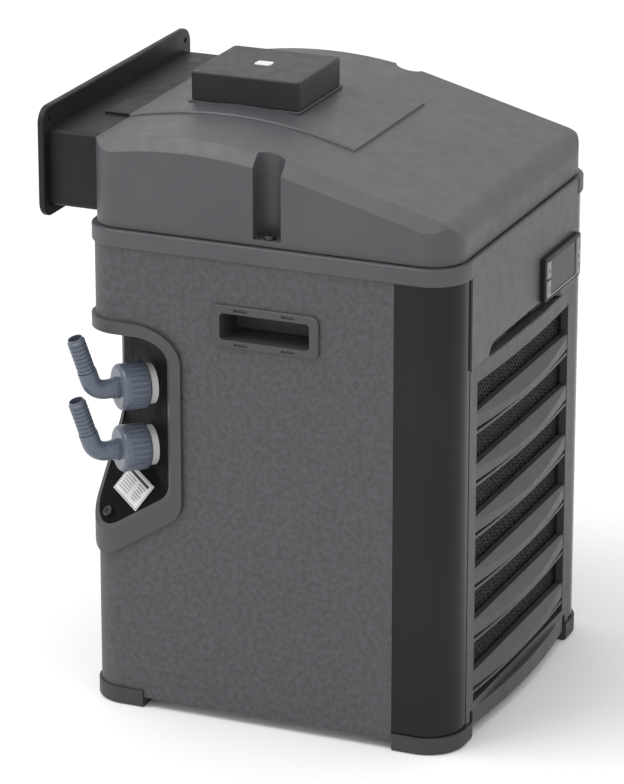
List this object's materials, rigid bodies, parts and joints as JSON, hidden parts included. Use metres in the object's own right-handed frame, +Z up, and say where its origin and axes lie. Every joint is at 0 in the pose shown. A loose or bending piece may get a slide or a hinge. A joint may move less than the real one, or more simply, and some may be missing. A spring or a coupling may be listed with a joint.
{
  "type": "heat pump unit",
  "caption": "Compact cabinet heat pump with louvred intake, crowned lid, rear exhaust duct, side carrying handles and a corner recess with barbed hose unions.",
  "frame": {"origin": "on the floor, under the middle of the casing", "axes": "+Z up, +Y out of the exhaust duct, -Y out of the intake grille, hose unions at the rear corner on the -X side"},
  "size_m": [0.3022, 0.3275, 0.4527],
  "materials": {
    "side_paint": "satin fine texture",
    "lid_plastic": "satin",
    "trim_gloss": "gloss",
    "grille_plastic": "satin",
    "foot_plastic": "matte",
    "black_plastic": "matte",
    "filter_gauze": "woven gauze",
    "union_grey": "satin",
    "white_plastic": "satin",
    "label_vinyl": "matt print",
    "key_grey": "satin",
    "display_window": "gloss",
    "screw_steel": "zinc",
    "galvanised": "galvanised",
    "fin_aluminium": "mill",
    "copper_pipe": "drawn copper",
    "steel_black": "semi gloss",
    "rubber_black": "matte",
    "vessel_plastic": "satin",
    "titanium": "drawn",
    "circuit_board": "solder mask"
  },
  "bodies": {
    "casing": {"base_pan": "galvanised", "board_cover": "black_plastic", "compressor": "steel_black", "compressor_mounts": "rubber_black", "condenser_fins": "fin_aluminium", "condenser_tubes": "copper_pipe", "control_board": "circuit_board", "duct_flange": "black_plastic", "duct_guard": "black_plastic", "exchanger_coil": "titanium", "exchanger_vessel": "vessel_plastic", "exhaust_duct": "black_plastic", "fan_motor": "steel_black", "fan_shroud": "black_plastic", "filter_drier": "copper_pipe", "foot_front_left": "foot_plastic", "foot_front_right": "foot_plastic", "foot_rear_left": "foot_plastic", "foot_rear_right": "foot_plastic", "front_panel": "lid_plastic", "inlet_bulkhead": "white_plastic", "left_column_trim": "trim_gloss", "left_handle_cup": "grille_plastic", "left_side_panel": "side_paint", "lid": "lid_plastic", "lid_screws": "screw_steel", "outlet_bulkhead": "white_plastic", "pod_dock": "lid_plastic", "power_inlet": "black_plastic", "rating_label": "label_vinyl", "rear_panel": "side_paint", "rear_screws": "screw_steel", "recess_bezel": "grille_plastic", "recess_screw": "screw_steel", "recess_tray": "black_plastic", "refrigerant_lines": "copper_pipe", "reversing_valve": "copper_pipe", "right_column_trim": "trim_gloss", "right_handle_cup": "grille_plastic", "right_side_panel": "side_paint", "rim_collar": "lid_plastic", "thermostat_body": "black_plastic", "thermostat_window": "display_window", "union_seals": "rubber_black", "water_stubs": "rubber_black"},
    "fan": {"fan_rotor": "black_plastic"},
    "intake": {"front_grille": "grille_plastic", "filter_frame": "black_plastic", "filter_mesh": "filter_gauze"},
    "pod": {"pod_housing": "lid_plastic"},
    "pod_button": {"pod_button": "white_plastic"},
    "inlet_nut": {"inlet_union_nut": "union_grey"},
    "outlet_nut": {"outlet_union_nut": "union_grey"},
    "inlet_elbow": {"inlet_elbow": "union_grey"},
    "outlet_elbow": {"outlet_elbow": "union_grey"},
    "key_set": {"key_set": "key_grey"},
    "key_up": {"key_up": "key_grey"},
    "key_down": {"key_down": "key_grey"},
    "key_power": {"key_power": "key_grey"}
  },
  "joints": [
    {"name": "fan_spin", "type": "hinge", "parent": "casing", "child": "fan", "pos_m": [0, -0.077, 0.15], "axis": [0, 1, 0], "continuous": true},
    {"name": "grille_pull", "type": "slide", "parent": "casing", "child": "intake", "axis": [0, -1, 0], "range_m": [0, 0.06]},
    {"name": "pod_lift", "type": "slide", "parent": "casing", "child": "pod", "axis": [0, 0, 1], "range_m": [0, 0.03]},
    {"name": "pod_button_press", "type": "slide", "parent": "pod", "child": "pod_button", "axis": [0, 0, -1], "range_m": [0, 0.001], "stiffness_N_per_m": 300},
    {"name": "key_set_press", "type": "slide", "parent": "casing", "child": "key_set", "axis": [0, 1, 0], "range_m": [0, 0.0008], "stiffness_N_per_m": 300},
    {"name": "key_up_press", "type": "slide", "parent": "casing", "child": "key_up", "axis": [0, 1, 0], "range_m": [0, 0.0008], "stiffness_N_per_m": 300},
    {"name": "key_down_press", "type": "slide", "parent": "casing", "child": "key_down", "axis": [0, 1, 0], "range_m": [0, 0.0008], "stiffness_N_per_m": 300},
    {"name": "key_power_press", "type": "slide", "parent": "casing", "child": "key_power", "axis": [0, 1, 0], "range_m": [0, 0.0008], "stiffness_N_per_m": 300},
    {"name": "outlet_nut_turn", "type": "hinge", "parent": "casing", "child": "outlet_nut", "pos_m": [-0.1155, 0.0985, 0.242], "axis": [-0.7071, 0.7071, 0], "continuous": true},
    {"name": "outlet_elbow_swivel", "type": "hinge", "parent": "casing", "child": "outlet_elbow", "pos_m": [-0.1155, 0.0985, 0.242], "axis": [-0.7071, 0.7071, 0], "range_deg": [-60, 60]},
    {"name": "inlet_nut_turn", "type": "hinge", "parent": "casing", "child": "inlet_nut", "pos_m": [-0.1155, 0.0985, 0.1955], "axis": [-0.7071, 0.7071, 0], "continuous": true},
    {"name": "inlet_elbow_swivel", "type": "hinge", "parent": "casing", "child": "inlet_elbow", "pos_m": [-0.1155, 0.0985, 0.1955], "axis": [-0.7071, 0.7071, 0], "range_deg": [-60, 60]}
  ]
}
